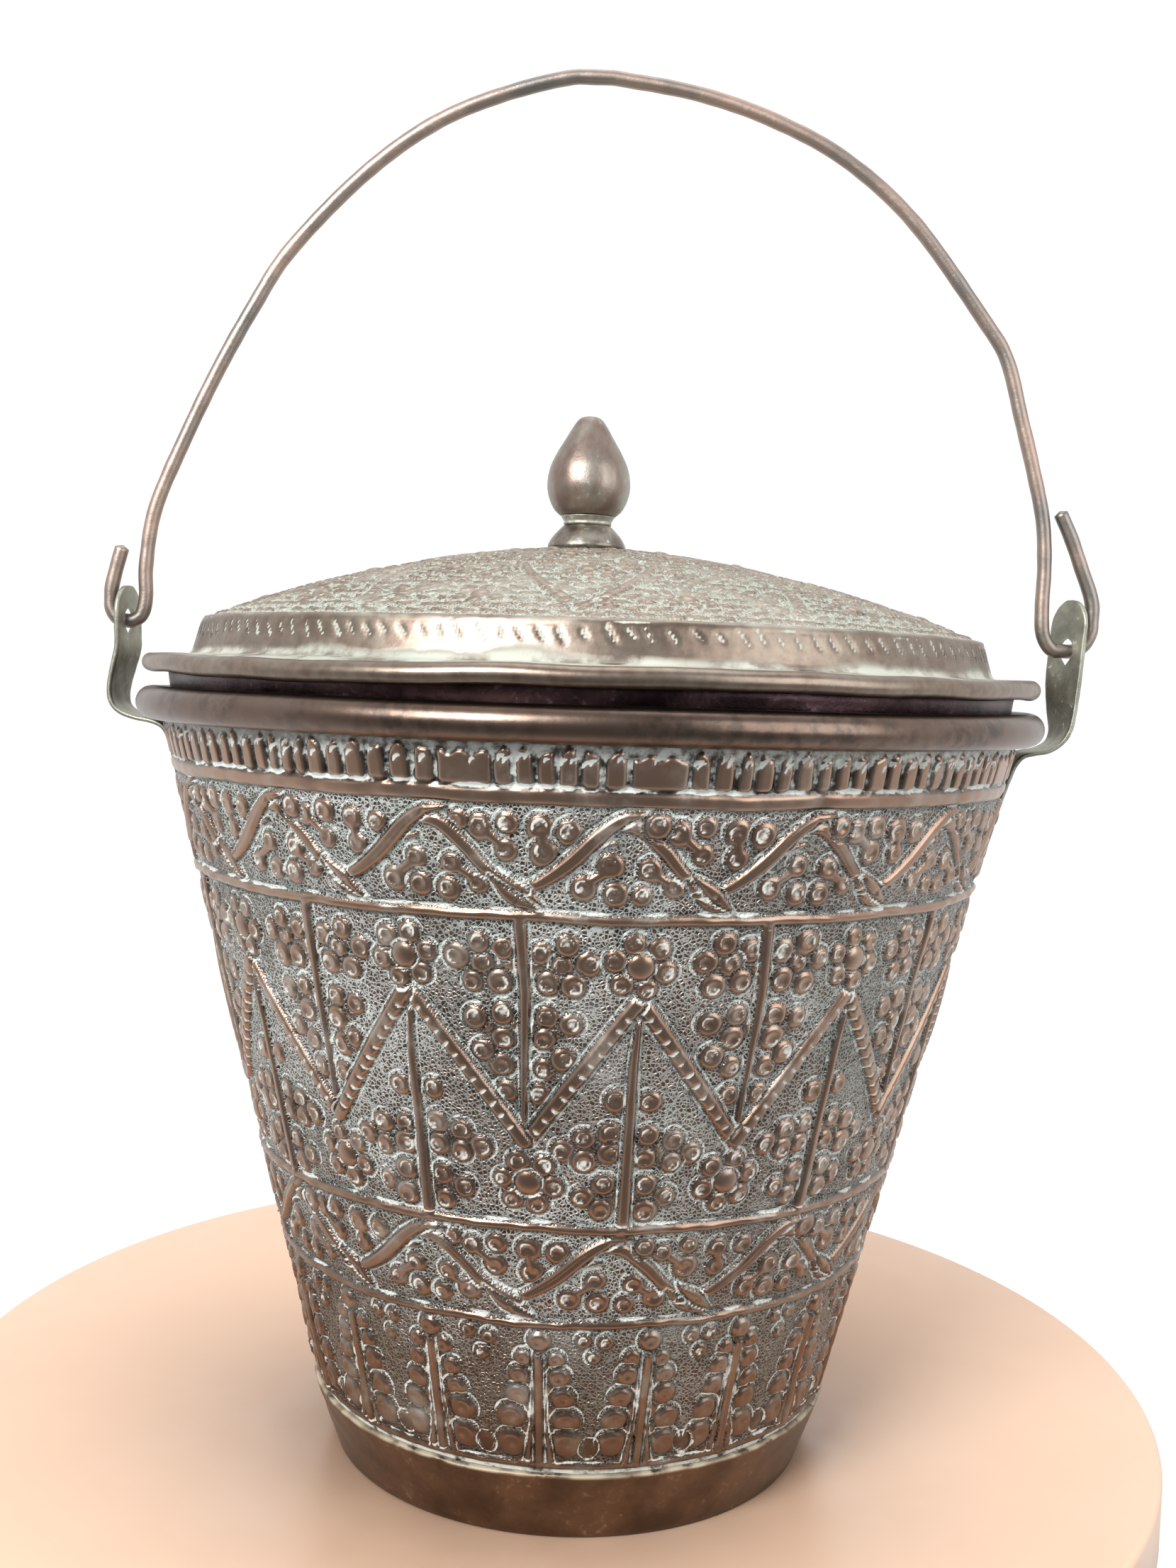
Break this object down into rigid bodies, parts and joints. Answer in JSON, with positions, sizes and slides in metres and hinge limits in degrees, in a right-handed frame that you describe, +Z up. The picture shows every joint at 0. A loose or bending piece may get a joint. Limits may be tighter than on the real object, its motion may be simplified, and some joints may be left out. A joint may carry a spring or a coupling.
{
  "type": "ice bucket",
  "caption": "Tapered hammered-copper pail with a wired rim, riveted ears, a swinging bent-rod bail and a lift-off domed lid with a turned knob.",
  "frame": {"origin": "centre of the flat underside, on the surface that the bucket stands on", "axes": "+Z up along the bucket's axis; X along the bail's pivot axis, with ear_right at +X; -Y faces the side of the bucket that is seen first, with the ears to the left and right"},
  "size_m": [0.2716, 0.24, 0.3697],
  "materials": {
    "wall_copper": "brown copper, rubbed bright on the raised work, grey-green and white bloom in the hollows",
    "foot_copper": "smooth dark brown copper, mottled",
    "ear_metal": "dull grey-green sheet",
    "rivet_copper": "dull brown",
    "bail_copper": "satin pinkish brown, greyer near the hooks",
    "lid_copper": "hammered copper under pale dusty bloom",
    "collar_copper": "dark purplish brown",
    "knob_copper": "polished dark brown",
    "core_wire": "dull wire hidden in the rolled edges",
    "solder": "dull grey-white solder"
  },
  "bodies": {
    "pail": {"wall": "wall_copper", "rim_wire": "core_wire", "foot_band": "foot_copper", "base_disc": "foot_copper", "ear_left": "ear_metal", "ear_right": "ear_metal", "rivet_left_lower": "rivet_copper", "rivet_left_upper": "rivet_copper", "rivet_right_lower": "rivet_copper", "rivet_right_upper": "rivet_copper"},
    "bail": {"bail": "bail_copper"},
    "lid": {"lid_dome": "lid_copper", "lid_edge_wire": "core_wire", "lid_collar": "collar_copper", "finial_foot": "knob_copper", "finial_ring": "solder", "finial_bulb": "knob_copper", "finial_stud": "rivet_copper", "stud_washer": "rivet_copper"}
  },
  "joints": [
    {"name": "bail_swing", "type": "hinge", "parent": "pail", "child": "bail", "pos_m": [0, 0, 0.2192], "axis": [1, 0, 0], "range_deg": [-104, 104]},
    {"name": "lid_lift", "type": "slide", "parent": "pail", "child": "lid", "axis": [0, 0, 1], "range_m": [0, 0.025]}
  ]
}
